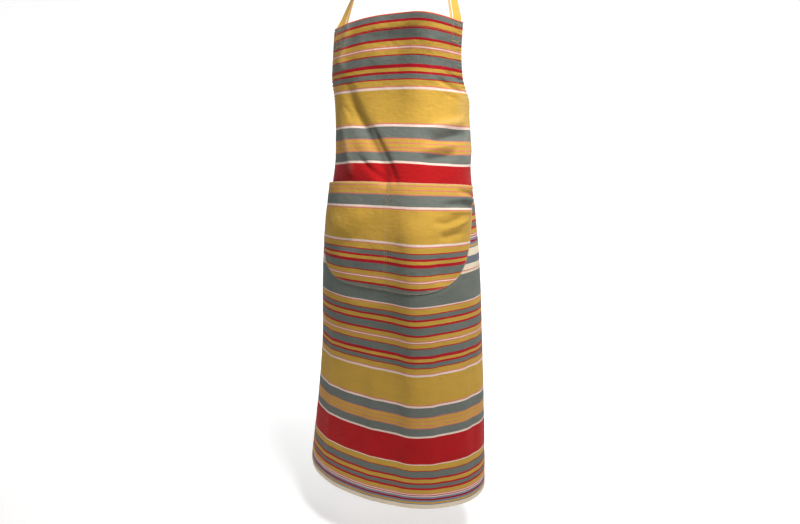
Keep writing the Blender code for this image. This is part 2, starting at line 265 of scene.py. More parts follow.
def crease(u, v, points, width, height, end_fade=0.3):
    """A ridge, or a valley where height is below 0, along a line of (u, v) points, faded at its ends."""
    points = np.array(points)
    starts = arc_lengths(points)
    lengths = np.diff(starts)
    nearest = np.full(np.shape(u), 1e9)
    share = np.zeros(np.shape(u))
    for k in range(len(lengths)):
        step = points[k + 1] - points[k]
        q = ((u - points[k, 0]) * step[0] + (v - points[k, 1]) * step[1]) / lengths[k] ** 2
        q = np.clip(q, 0.0, 1.0)
        gap = np.hypot(u - points[k, 0] - q * step[0], v - points[k, 1] - q * step[1])
        share = np.where(gap < nearest, (starts[k] + q * lengths[k]) / starts[-1], share)
        nearest = np.minimum(gap, nearest)
    ends = smooth(0.0, 0.3, share) * smooth(0.0, end_fade, 1.0 - share)
    return height * ends * hill(nearest, width)


# Folds of the panel: the points of each, its half width and its height, and how soon its far end fades.
PANEL_FOLDS = (
    (((-0.152, -0.05), (-0.152, 0.06), (-0.156, 0.18)), 0.032, 0.01),
    (((0.178, 0.1), (0.196, 0.2), (0.215, 0.32)), 0.034, 0.009),
    (((-0.104, -0.03), (-0.118, 0.03), (-0.13, 0.075), (-0.112, 0.118)), 0.011, 0.0048),
    (((-0.12, 0.105), (-0.095, 0.175), (-0.057, 0.232), (-0.023, 0.282), (0.0, 0.346)), 0.016, -0.011,
     0.1),
    (((-0.134, 0.19), (-0.112, 0.262), (-0.084, 0.34)), 0.016, 0.0055),
    (((-0.052, 0.205), (-0.018, 0.262), (0.006, 0.309), (0.02, 0.344)), 0.006, -0.004, 0.1),
    (((-0.085, 0.272), (-0.055, 0.302), (-0.028, 0.32), (0.002, 0.344)), 0.006, -0.0038, 0.1),
    (((-0.128, 0.168), (-0.112, 0.185), (-0.094, 0.21)), 0.006, -0.0022),
    (((0.092, 0.12), (0.13, 0.134), (0.172, 0.147)), 0.005, -0.0028),
    (((0.11, 0.105), (0.172, 0.124)), 0.005, -0.0016),
    (((0.112, 0.15), (0.17, 0.162)), 0.005, -0.0014),
    (((0.06, 0.226), (0.105, 0.213), (0.185, 0.2)), 0.01, 0.006),
    (((0.072, 0.249), (0.125, 0.237), (0.195, 0.225)), 0.01, -0.01),
    (((0.052, 0.269), (0.105, 0.256), (0.155, 0.247)), 0.007, 0.0044),
    (((0.056, 0.29), (0.108, 0.277), (0.155, 0.27)), 0.009, -0.009),
    (((-0.085, 0.015), (-0.01, 0.024), (0.07, 0.012)), 0.01, 0.001),
    (((-0.09, 0.03), (-0.03, 0.05), (0.07, 0.04)), 0.016, -0.0022),
    (((-0.06, 0.075), (-0.02, 0.095), (0.02, 0.085)), 0.018, 0.0018),
    (((0.075, 0.02), (0.085, 0.08), (0.08, 0.15)), 0.014, 0.0026),
    (((0.103, 0.56), (0.107, 0.7), (0.112, 0.9), (0.118, 1.11)), 0.014, 0.002),
    (((-0.03, 0.64), (-0.034, 0.85), (-0.04, 1.11)), 0.016, 0.0022),
    (((0.03, 0.6), (0.03, 0.82), (0.026, 1.11)), 0.018, -0.0022),
    (((-0.15, 0.56), (-0.165, 0.8), (-0.18, 1.11)), 0.018, 0.003),
    (((0.205, 0.6), (0.215, 0.8), (0.225, 1.11)), 0.016, -0.003),
    (((0.08, 0.56), (0.16, 0.545), (0.215, 0.5)), 0.014, 0.003),
    (((-0.14, 0.575), (-0.06, 0.6), (0.01, 0.585)), 0.016, 0.0022),
)

# Folds of the pocket alone, on top of the panel's.
POCKET_FOLDS = (
    (((0.128, 0.347), (0.165, 0.35), (0.208, 0.356)), 0.0048, -0.005),
    (((0.135, 0.36), (0.17, 0.363), (0.208, 0.368)), 0.0045, 0.0052),
    (((0.1, 0.376), (0.15, 0.374), (0.208, 0.38)), 0.0055, -0.005),
    (((0.11, 0.388), (0.16, 0.388), (0.206, 0.392)), 0.0055, 0.0046),
    (((0.09, 0.408), (0.125, 0.413), (0.165, 0.4)), 0.0075, -0.0046),
    (((0.11, 0.424), (0.138, 0.42), (0.19, 0.404)), 0.006, 0.0044),
    (((0.108, 0.438), (0.135, 0.44), (0.18, 0.43)), 0.006, -0.0044),
    (((-0.16, 0.478), (-0.08, 0.462), (-0.05, 0.438), (0.0, 0.396), (0.04, 0.376)), 0.017, -0.007),
    (((-0.17, 0.425), (-0.1, 0.425), (-0.04, 0.385)), 0.02, 0.005),
    (((0.02, 0.45), (0.08, 0.425), (0.11, 0.385)), 0.02, 0.003),
    (((0.118, 0.47), (0.126, 0.505), (0.122, 0.548)), 0.013, -0.0034),
    (((-0.11, 0.5), (-0.06, 0.52), (0.0, 0.525)), 0.014, -0.0018),
)


def edge_slope(v):
    return (half_width(v + 0.001) - half_width(v - 0.001)) / 0.002


def edge_gap(u, v):
    """Distance in from the panel's side edge, along the cloth."""
    return (half_width(v) - np.abs(u)) / np.hypot(1.0, edge_slope(v))


def relief(u, v):
    """How far the worn cloth stands off its smooth form: folds, flutes, wrinkles and puckered hems."""
    u, v = np.asarray(u, dtype=float), np.asarray(v, dtype=float)
    across = np.abs(u)
    height = sum(crease(u, v, *fold) for fold in PANEL_FOLDS)
    skirt = smooth(0.30, 0.75, v)
    height += 0.0016 * wander(u, v, 0.080, 0.130 + 0.25 * skirt, 3.7)
    height += 0.0007 * wander(u, v, 0.034, 0.046, 11.3) * (1 - 0.4 * skirt)
    height += 0.00022 * wander(u, v, 0.013, 0.011, 23.9)
    # The free side edges hang in flutes that deepen towards the hem.
    side = smooth(0.27, 0.36, across) * smooth(0.36, 0.85, v)
    phase = np.where(u < 0, 0.4, 1.9)
    height += 0.0085 * side * np.sin((across - 0.2) / FLUTE * math.tau + phase + 1.4 * v)
    # Puckers along the stitched armholes, deepest where the bib bends at the wearer's side.
    gap = edge_gap(u, v)
    armhole = smooth(ARMHOLE_DEPTH + 0.02, ARMHOLE_DEPTH - 0.03, v)
    tight = 0.00036 + 0.00100 * hill(v - 0.128, 0.032)
    beat = np.sin(math.tau * v / PUCKER + 2.2 * wander(u * 0.2, v, 0.05, 0.030, 5.1))
    height += armhole * tight * beat * hill(gap - 0.006, 0.007)
    # Each stitched row pulls the cloth in a little.
    height -= 0.00025 * armhole * hill(gap - 0.009, 0.0018)
    height -= 0.00025 * hill(v - LENGTH + 0.017, 0.003)
    height -= 0.00020 * hill(v - TOP_HEM + 0.003, 0.003)
    # The strap's stitched box is drawn in.
    box = smooth(0.016, 0.009, np.abs(across - STRAP_U)) * smooth(0.050, 0.040, v)
    dimple = np.sin(math.pi * (across - STRAP_U) / BOX_HALF) * np.sin(math.pi * (v - 0.007) / 0.0165)
    return height - box * (0.0003 + 0.0006 * np.abs(dimple))


def panel_base(u, v):
    return MID + relief(u, v)


def pocket_base(u, v):
    """The pocket's own layer: stitched down at the edge and the centre seam, gaping at the mouth."""
    down = np.clip((v - POCKET_TOP) / POCKET_DEPTH, 0.0, 1.0)
    reach = np.maximum(POCKET_HALF * (1 - down**4) ** 0.25, 1e-6)
    seam_half = 0.0042
    share = np.clip((np.abs(u) - seam_half) / np.maximum(reach - seam_half - 0.004, 1e-6), 0.0, 1.0)
    left = np.asarray(u) < 0
    belly = np.sin(math.pi * share ** np.where(left, 1.3, 2.2)) * (1 - down) ** 1.15
    gape = np.where(left, POCKET_GAPE[-1], POCKET_GAPE[1]) * belly
    own = sum(crease(u, v, *fold) for fold in POCKET_FOLDS)
    own = own + 0.0007 * wander(u, v, 0.050, 0.028, 41.0) + 0.0002 * wander(u, v, 0.012, 0.010, 47.0)
    edge = smooth(0.0, 0.016, reach - np.abs(u)) * smooth(0.0, 0.012, POCKET_TOP + POCKET_DEPTH - v)
    free = edge * (1 - 0.75 * hill(u, 0.006))
    stand = gape + (own + 0.0006) * free
    # It rests on the panel where a fold would push it deeper.
    least = 0.0008
    stand = np.where(stand < least, least * np.exp(np.minimum(stand / least - 1, 0.0)), stand)
    return POCKET_MID + relief(u, v) + stand * free + gape * (1 - free)


def drooped(base, u, v):
    """Where a layer's points lie down the form: the pocket's mouth hangs lower towards its corners."""
    if base is not pocket_base:
        return v
    up = np.clip(1 - (v - POCKET_TOP) / POCKET_DEPTH, 0.0, 1.0)
    return v + POCKET_DROOP * (u / POCKET_HALF) ** 2 * up


def surface(base, u, v, drop=0.0):
    """World points on a layer of cloth, drop above its middle surface."""
    return place(u, drooped(base, u, v), base(u, v) + drop)


def surface_normal(base, u, v):
    """Unit normals of a layer of cloth, outwards."""
    step = 0.0012
    down = surface(base, u, v + step) - surface(base, u, v - step)
    across = surface(base, u + step, v) - surface(base, u - step, v)
    return unit(np.cross(down, across))


# ---------- materials
def srgb(r, g, b):
    """Linear colour of an 8-bit one."""
    values = [c / 255 for c in (r, g, b)]
    return tuple(c / 12.92 if c <= 0.04045 else ((c + 0.055) / 1.055) ** 2.4 for c in values)


YARN = {
    "M": srgb(174, 138, 56),       # mustard
    "G": srgb(95, 100, 94),        # grey-green
    "R": srgb(154, 12, 28),        # crimson lines
    "V": srgb(156, 14, 18),        # the wide red stripe
    "W": srgb(208, 186, 174),      # white
    "P": srgb(184, 106, 92),       # pink
    "C": srgb(204, 190, 168),      # cream
    "B": srgb(108, 116, 132),      # blue-grey
    "K": srgb(94, 99, 108),        # slate
    "D": srgb(132, 10, 28),        # deep crimson
    "O": srgb(176, 128, 66),       # mustard woven with pink
}

# The stripes from the top edge down: each yarn and where its stripe ends, in millimetres of cloth.
STRIPES = (
    "R2.2 G11.6 R15.4 M24.2 R29.8 G46.1 R50.1 M59.1 P61.1 W64.5 P66.5 M75.2 R79.2 G94.9 R100.7 M109.2 "
    "R114.1 G122.4 R126 M137.6 P139.7 W142.8 P144.6 M212.6 P214.6 W217.5 P219.3 G241.3 P244.4 M250.7 "
    "P253.3 M259.6 P262.3 M268.1 P271.2 G287.8 P289.4 W292.5 P294.1 V360.3 W363.9 M376.9 R380.9 G396.1 "
    "R400.2 M410.7 R414.7 G425 R428.6 M438.6 P440.9 W442.9 R445.4 W448.9 B452.5 D457.9 B461.5 M466 "
    "B470 C485.6 K501.3 C514.3 P516.1 C519.2 P521.5 G580.3 P581.7 W584.6 P586.1 M596.7 R598.7"
)


class Nodes:
    """A short way to write a material's node tree."""

    def __init__(self, name):
        self.material = bpy.data.materials.new(name)
        self.material.use_nodes = True
        self.tree = self.material.node_tree
        self.shader = self.tree.nodes["Principled BSDF"]

    def add(self, kind, inputs=(), **settings):
        node = self.tree.nodes.new(kind)
        for key, value in settings.items():
            setattr(node, key, value)
        for key, value in dict(inputs).items():
            if isinstance(value, bpy.types.NodeSocket):
                self.tree.links.new(value, node.inputs[key])
            else:
                node.inputs[key].default_value = value
        return node

    def math(self, operation, a, b=0.0, c=0.0):
        return self.add("ShaderNodeMath", {0: a, 1: b, 2: c}, operation=operation).outputs[0]

    def mix(self, factor, a, b):
        """The colour a where factor is 0, and b where it is 1."""
        return self.add("ShaderNodeMix", {0: factor, 6: a, 7: b}, data_type="RGBA").outputs[2]

    def grain(self, u, v, scale_u, scale_v, detail, low, high):
        """Noise on the cloth between low and high, with one wave in scale_u by scale_v metres."""
        a = self.math("MULTIPLY", u, 1 / scale_u)
        b = self.math("MULTIPLY", v, 1 / scale_v)
        return self.noise(self.add("ShaderNodeCombineXYZ", {0: a, 1: b}).outputs[0], 1.0, detail, low, high)

    def noise(self, vector, scale, detail, low, high):
        inputs = {"Vector": vector, "Scale": scale, "Detail": detail}
        made = self.add("ShaderNodeTexNoise", inputs).outputs["Fac"]
        inputs = {"Value": made, "From Min": 0.3, "From Max": 0.7, "To Min": low, "To Max": high}
        return self.add("ShaderNodeMapRange", inputs).outputs["Result"]

    def ramp(self, position, stops):
        """Bands of colour: each stop is where a band starts, and its colour."""
        node = self.add("ShaderNodeValToRGB", {0: position})
        node.color_ramp.interpolation = "CONSTANT"
        elements = node.color_ramp.elements
        while len(elements) > 1:
            elements.remove(elements[-1])
        elements[0].position = stops[0][0]
        elements[0].color = (*stops[0][1], 1.0)
        for where, colour in stops[1:]:
            elements.new(where).color = (*colour, 1.0)
        return node.outputs["Color"]

    def shade(self, colour, value):
        """The colour, made lighter or darker by a number."""
        return self.add("ShaderNodeVectorMath", {0: colour, "Scale": value}, operation="SCALE").outputs[0]

    def bump(self, strength, distance, height, **inputs):
        inputs = {"Strength": strength, "Distance": distance, "Height": height, **inputs}
        return self.add("ShaderNodeBump", inputs).outputs[0]

    def finish(self, linked, plain):
        """Joins sockets to the shader's own, and sets the rest of it."""
        for key, socket in linked.items():
            self.tree.links.new(socket, self.shader.inputs[key])
        for key, value in plain.items():
            self.shader.inputs[key].default_value = value
        return self.material


def woven(nodes, u, v, colour, weft):
    """The yarns of a plain-weave cotton: slubs, mottling, wear, the weave's own bump and a soft sheen."""
    streak = nodes.grain(u, v, 0.050, 0.0007, 3.0, 1 - weft, 1 + weft)
    warp = nodes.grain(u, v, 0.0009, 0.060, 2.0, 0.95, 1.05)
    cloud = nodes.grain(u, v, 0.070, 0.045, 3.0, 0.94, 1.05)
    tone = nodes.math("MULTIPLY", nodes.math("MULTIPLY", streak, warp), cloud)
    wear = nodes.add("ShaderNodeAttribute", attribute_name="wear").outputs["Fac"]
    patchy = nodes.grain(u, v, 0.006, 0.004, 3.0, 0.2, 1.0)
    faded = nodes.math("MULTIPLY", nodes.math("MULTIPLY", wear, patchy), 0.30)
    colour = nodes.mix(faded, nodes.shade(colour, tone), (*srgb(232, 222, 200), 1.0))
    over, under = [nodes.math("SINE", nodes.math("MULTIPLY", x, math.tau / WEAVE)) for x in (u, v)]
    fine = nodes.grain(u, v, 0.0016, 0.0011, 3.0, -0.8, 0.8)
    weave = nodes.bump(0.55, 0.00010, nodes.math("ADD", nodes.math("MULTIPLY", over, under), fine))
    bump = nodes.bump(0.5, 0.0005, nodes.grain(u, v, 0.011, 0.007, 4.0, -1.0, 1.0), Normal=weave)
    rough = nodes.grain(u, v, 0.020, 0.003, 2.0, 0.76, 0.90)
    return nodes.finish({"Base Color": colour, "Normal": bump, "Roughness": rough},
                        {"Specular IOR Level": 0.12, "Sheen Weight": 0.03, "Sheen Roughness": 0.55})


def cloth_coordinates(nodes):
    both = nodes.add("ShaderNodeUVMap", uv_map="cloth").outputs[0]
    parts = nodes.add("ShaderNodeSeparateXYZ", {0: both})
    return parts.outputs[0], parts.outputs[1]


def striped_material():
    """Yarn-dyed stripes along the cloth's own length, in a pattern that repeats."""
    nodes = Nodes("striped_cotton")
    u, v = cloth_coordinates(nodes)
    waver = nodes.grain(u, v, 0.030, 0.030, 2.0, -0.00020, 0.00020)
    share = nodes.math("DIVIDE", nodes.math("ADD", v, waver), REPEAT)
    share = nodes.math("FRACT", nodes.math("ADD", share, 1.0))
    stripes, start = [], 0.0
    for word in STRIPES.split():
        stripes.append((start, YARN[word[0]]))
        start = float(word[1:]) / 1000 / REPEAT
    held = 24                   # stripes in one ramp node, which takes at most 32
    colour = nodes.ramp(share, stripes[:held])
    for k in range(held, len(stripes), held):
        past = nodes.math("GREATER_THAN", share, stripes[k][0])
        colour = nodes.mix(past, colour, nodes.ramp(share, stripes[k:k + held]))
    # Single darker picks every few millimetres, as in the mustard stripes.
    picks = nodes.math("SINE", nodes.math("MULTIPLY", v, math.tau / PICK))
    picks = nodes.math("MULTIPLY_ADD", nodes.math("POWER", nodes.math("ABSOLUTE", picks), 6.0), -0.07, 1.0)
    return woven(nodes, u, v, nodes.shade(colour, picks), 0.075)


def strap_material():
    """Folded tape of the same cloth: mustard, with one thin white and pink stripe near an edge."""
    nodes = Nodes("strap_cotton")
    u, v = cloth_coordinates(nodes)
    span = 0.030
    share = nodes.math("MULTIPLY_ADD", u, 1 / span, 0.5)
    lines = [(-span / 2, "M"), (-0.0092, "P"), (-0.0082, "W"), (-0.0060, "P"), (-0.0050, "M"), (0.0068, "O"),
             (0.0078, "M")]
    stops = [(x / span + 0.5, YARN[yarn]) for x, yarn in lines]
    return woven(nodes, v, u, nodes.ramp(share, stops), 0.07)


def thread_material():
    """Twisted cotton sewing thread."""
    nodes = Nodes("sewing_thread")
    spot = nodes.add("ShaderNodeTexCoord").outputs["Object"]
    tone = nodes.noise(spot, 900.0, 2.0, 0.78, 1.12)
    inputs = {"Vector": spot, "Scale": 1500.0, "Distortion": 1.0}
    twist = nodes.bump(0.5, 0.00008, nodes.add("ShaderNodeTexWave", inputs).outputs["Fac"])
    linked = {"Base Color": nodes.shade(srgb(168, 142, 94), tone), "Normal": twist}
    return nodes.finish(linked, {"Roughness": 0.7, "Sheen Weight": 0.2})


STRIPED = striped_material()
STRAP = strap_material()
THREAD = thread_material()


# ---------- mesh building
def show(name, data):
    """A new object in the scene."""
    obj = bpy.data.objects.new(name, data)
    bpy.context.scene.collection.objects.link(obj)
    return obj


def add_mesh(name, points, faces, material):
    """A smooth-shaded object of those points and faces."""
    mesh = bpy.data.meshes.new(name)
    mesh.from_pydata(points.reshape(-1, 3), [], faces)
    mesh.shade_smooth()
    mesh.materials.append(material)
    return show(name, mesh)


def grid_faces(shape, closed):
    """Four-sided faces of a grid of rows by columns of points, joined round where it is closed."""
    index = np.arange(shape[0] * shape[1]).reshape(shape[:2])
    if closed:
        index = np.concatenate([index, index[:, :1]], axis=1)
    corners = [index[:-1, :-1], index[1:, :-1], index[1:, 1:], index[:-1, 1:]]
    return np.stack(corners, axis=-1).reshape(-1, 4).tolist()


def grid_mesh(name, points, cloth, material, wear, closed=False):
    """A mesh of a rows by columns array of points, with the cloth's coordinates as its UV map."""
    obj = add_mesh(name, points, grid_faces(points.shape, closed), material)
    corners = np.empty(len(obj.data.loops), dtype=np.int32)
    obj.data.loops.foreach_get("vertex_index", corners)
    flat = np.asarray(cloth, dtype=np.float32).reshape(-1, 2)
    obj.data.uv_layers.new(name="cloth").data.foreach_set("uv", flat[corners].ravel())
    worn = obj.data.attributes.new("wear", "FLOAT", "POINT")
    worn.data.foreach_set("value", np.asarray(wear, dtype=np.float32).ravel())
    return obj


def thicken(obj, thickness):
    """Makes cloth of a mesh, half of the thickness on each side of it."""
    solid = obj.modifiers.new("thickness", "SOLIDIFY")
    solid.thickness = thickness
    solid.offset = 0.0
    solid.use_even_offset = False


# ---------- cloth panels and hems
def make_panel():
    """The panel: fine rows over the bib, coarser ones below, and fine columns along both sides."""
    columns = np.array([0.0, 0.0012, 0.0026, 0.0042, 0.0060, 0.0080, 0.0100, 0.0122, 0.0148, 0.0180])
    inner = np.linspace(-1.0, 1.0, 165)
    rows = np.concatenate([np.arange(ROLL, 0.300, 0.0021), np.arange(0.300, LENGTH - 0.012, 0.0041),
                           np.linspace(LENGTH - 0.010, LENGTH - ROLL, 5)])
    cloth = []
    for v in rows:
        reach = half_width(v) - ROLL * np.hypot(1.0, edge_slope(v))
        edge = reach - columns[:-1]
        u = np.concatenate([-edge, inner * (reach - columns[-1]), edge[::-1]])
        cloth.append(np.stack([u, np.full(len(u), v)], axis=-1))
    cloth = np.array(cloth)
    u, v = cloth[..., 0], cloth[..., 1]
    wear = 0.5 * hill(edge_gap(u, v), 0.003) + 0.35 * hill(LENGTH - v, 0.004)
    wear += 0.3 * smooth(0.002, 0.006, relief(u, v))
    obj = grid_mesh("front_panel_cloth", surface(panel_base, u, v), cloth, STRIPED, wear)
    thicken(obj, SKIN)
    return obj


def fold_profile(depth, roll):
    """Distance in from a folded edge, drop below the outer layer, and cloth past the fold, round a hem."""
    rows = [(roll + 0.0006, 0.00004, -(roll + 0.0006))]
    for angle in np.linspace(0.0, math.pi, 7):
        rows.append((roll - roll * math.sin(angle), roll - roll * math.cos(angle), roll * (angle - 0.5)))
    for share in (0.12, 0.3, 0.5, 0.7, 0.86, 0.95):
        rows.append((roll + (depth - roll) * share, 2 * roll, roll * 2.6 + (depth - roll) * share))
    rows.append((depth - 0.0002, 2 * roll - 0.0001, depth + roll * 1.6))
    rows.append((depth, 1.45 * roll, depth + roll * 2.2))
    return rows


def make_hem(name, edge, inwards, depth, base, roll, under, nodes, pucker=0.0):
    """A folded hem: the rolled edge of the cloth and the layer turned to the back.

    edge and inwards are (u, v) arrays; under is how much lower the turned layer lies at each point.
    """
    rows = fold_profile(depth, roll)
    points = np.empty((len(edge), len(rows), 3))
    cloth = np.empty((len(edge), len(rows), 2))
    length = arc_lengths(edge)
    wave = pucker * np.sin(math.tau * length / 0.0088 + 3 * np.sin(length / 0.05))
    for k, (gap, drop, past) in enumerate(rows):
        at = edge + inwards * gap
        low = -drop - under * smooth(roll, 2 * roll, drop) + wave * (gap / depth)
        points[:, k] = surface(base, at[:, 0], at[:, 1], low)
        cloth[:, k] = edge - inwards * past
    wear = np.tile([hill(gap, 0.0016) for gap, _, _ in rows], (len(edge), 1))
    obj = grid_mesh(name, points, cloth, STRIPED, wear)
    thicken(obj, SKIN)
    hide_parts(*nodes)
    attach(obj, "apron")
    return obj


def armhole_edge(side):
    """The armhole's edge from the bib's corner down to the skirt's, and the way in from it."""
    v = np.linspace(0.0, ARMHOLE_DEPTH, 300)
    line, _ = even(np.stack([side * half_width(v), v], axis=1), 0.0020)
    step = np.gradient(line, axis=0)
    return line, unit(np.stack([-step[:, 1], step[:, 0]], axis=1) * side)


def side_edge(side):
    v = np.arange(ARMHOLE_DEPTH + 0.0004, LENGTH - 0.0006, 0.0040)
    v = np.append(v, LENGTH - 0.0006)
    line = np.stack([np.full(len(v), side * SKIRT_HALF), v], axis=1)
    return line, np.tile([-side * 1.0, 0.0], (len(v), 1))


def level_edge(half, v, inwards, spacing):
    """A level edge of that half width at v, and the way in from it: 1 for down and -1 for up."""
    half = half - CORNER_GAP
    u = np.linspace(-half, half, int(2 * half / spacing) + 1)
    return np.stack([u, np.full(len(u), v)], axis=1), np.tile([0.0, inwards], (len(u), 1))


def pocket_outline():
    """The pocket's U from its left mouth corner to its right one, and the way in from it."""
    a = np.linspace(0.0, math.pi, 1201)
    x = -np.sign(np.cos(a)) * np.abs(np.cos(a)) ** 0.5
    y = np.abs(np.sin(a)) ** 0.5
    line, _ = even(np.stack([x * POCKET_HALF, POCKET_TOP + y * POCKET_DEPTH], axis=1), 0.0025)
    step = np.gradient(line, axis=0)
    return line, unit(np.stack([step[:, 1], -step[:, 0]], axis=1))


def pocket_cloth(cloth):
    """Cloth coordinates for the stripes of the pocket, which is cut the other way up."""
    start, span = POCKET_STRIPES
    down = (cloth[..., 1] - POCKET_TOP) / POCKET_DEPTH
    return np.stack([cloth[..., 0] + POCKET_SHIFT, start - span * down], axis=-1)


def make_pocket():
    """The pocket's cloth: a square grid drawn into its U, finer along the stitched edge."""
    edge = np.array([0.0, 0.004, 0.010, 0.018, 0.028, 0.040])
    x = np.concatenate([-1 + edge, np.linspace(-0.948, 0.948, 121), (1 - edge)[::-1]])
    y = np.concatenate([np.linspace(0.0, 0.955, 64), 1 - edge[:-1][::-1]])
    x, y = np.meshgrid(x, y)
    inset = 1 - POCKET_ROLL / POCKET_HALF
    u = x * (1 - y**4 / 2) ** 0.25 * POCKET_HALF * inset
    v = POCKET_TOP + POCKET_ROLL * (1 - y) + y * (1 - x**4 / 2) ** 0.25 * POCKET_DEPTH * inset
    wear = 0.5 * hill(v - POCKET_TOP, 0.004) + 0.35 * smooth(0.955, 1.0, np.maximum(np.abs(x), y))
    cloth = pocket_cloth(np.stack([u, v], axis=-1))
    obj = grid_mesh("pocket_cloth", surface(pocket_base, u, v), cloth, STRIPED, wear)
    thicken(obj, SKIN * 0.9)
    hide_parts("pocket")
    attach(obj, "apron")
    return obj


# ---------- stitching
def thread_mesh(name, centres, directions, normals, nodes=(), body="apron", length=STITCH_LENGTH,
                radius=STITCH_RADIUS):
    """One mesh of short raised threads, each a slim six-sided capsule that lies on the cloth."""
    directions = unit(directions)
    sides = unit(np.cross(normals, directions))
    ups = np.cross(directions, sides)
    shape = [(-1.0, 0.0, -0.6)]
    for end, swell in ((-0.72, 0.85), (0.0, 1.0), (0.72, 0.85)):
        for corner in range(6):
            angle = math.pi * corner / 3
            shape.append((end, swell * math.cos(angle), swell * math.sin(angle)))
    shape.append((1.0, 0.0, -0.6))
    faces = []
    for corner in range(6):
        after = (corner + 1) % 6
        faces.append((0, 1 + after, 1 + corner))
        for first in (1, 7):
            faces.append((first + corner, first + after, first + 6 + after, first + 6 + corner))
        faces.append((13 + corner, 13 + after, 19))
    points = np.empty((len(centres), len(shape), 3))
    for k, (a, b, c) in enumerate(shape):
        points[:, k] = centres + directions * length / 2 * a + sides * radius * b + ups * radius * c
    faces = [[k * len(shape) + i for i in face] for k in range(len(centres)) for face in faces]
    obj = add_mesh(name, points, faces, THREAD)
    if nodes:
        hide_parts(*nodes)
    if body:
        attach(obj, body)
    return obj


def seam(base, line, face=1, drop=0.0):
    """Centres, directions and normals of a row of stitches along a line of (u, v) on one face of a layer."""
    flat, _ = even(np.asarray(line, dtype=float), 0.002)
    world = surface(base, flat[:, 0], flat[:, 1], -drop)
    arc = arc_lengths(world)
    middles = np.arange(STITCH_PITCH / 2, arc[-1], STITCH_PITCH)
    normals = surface_normal(base, *resample(middles, arc, flat).T) * face
    centres, ahead, behind = [resample(middles + past, arc, world) for past in (0.0, 0.0008, -0.0008)]
    return centres + normals * (SKIN / 2 + STITCH_RADIUS * 0.25), ahead - behind, normals


def both_faces(line, back=2 * ROLL):
    """Rows of stitches along a line of the panel: on its face, and on the cloth turned up behind it."""
    return [seam(panel_base, line), seam(panel_base, line, face=-1, drop=back)]


def crossed_box(low, high, top, bottom):
    """The lines of a stitched box and of the cross in it."""
    corners = [(low, top), (high, top), (high, bottom), (low, bottom), (low, top)]
    return [*zip(corners, corners[1:]), (corners[0], corners[2]), (corners[1], corners[3])]


def sew(name, rows, **settings):
    """One object of several rows of stitches."""
    joined = [np.concatenate(part) for part in zip(*rows)]
    return thread_mesh(name, *joined, **settings)


def inset_line(edge, inwards, gap):
    return edge + inwards * gap


# ---------- straps, ties and the bow
def curve_through(points, count):
    """Evenly spaced points on a smooth curve through the given ones, as in the CAD source."""
    points = np.array(points, dtype=float)
    chord = arc_lengths(points)
    fine = np.linspace(0.0, chord[-1], count * 8)
    path = np.stack([smooth_through(chord, column, fine) for column in points.T], axis=1)
    arc = arc_lengths(path)
    return resample(np.linspace(0.0, arc[-1], count), arc, path)


def relax(values, passes):
    """Smooths a line of vectors, with its ends kept."""
    for _ in range(passes):
        middle = values[1:-1] * 0.5 + (values[:-2] + values[2:]) * 0.25
        values = np.concatenate([values[:1], middle, values[-1:]])
    return values


def facing_along(facing, count):
    return resample(np.linspace(0, 1, count), np.linspace(0, 1, len(facing)), facing)


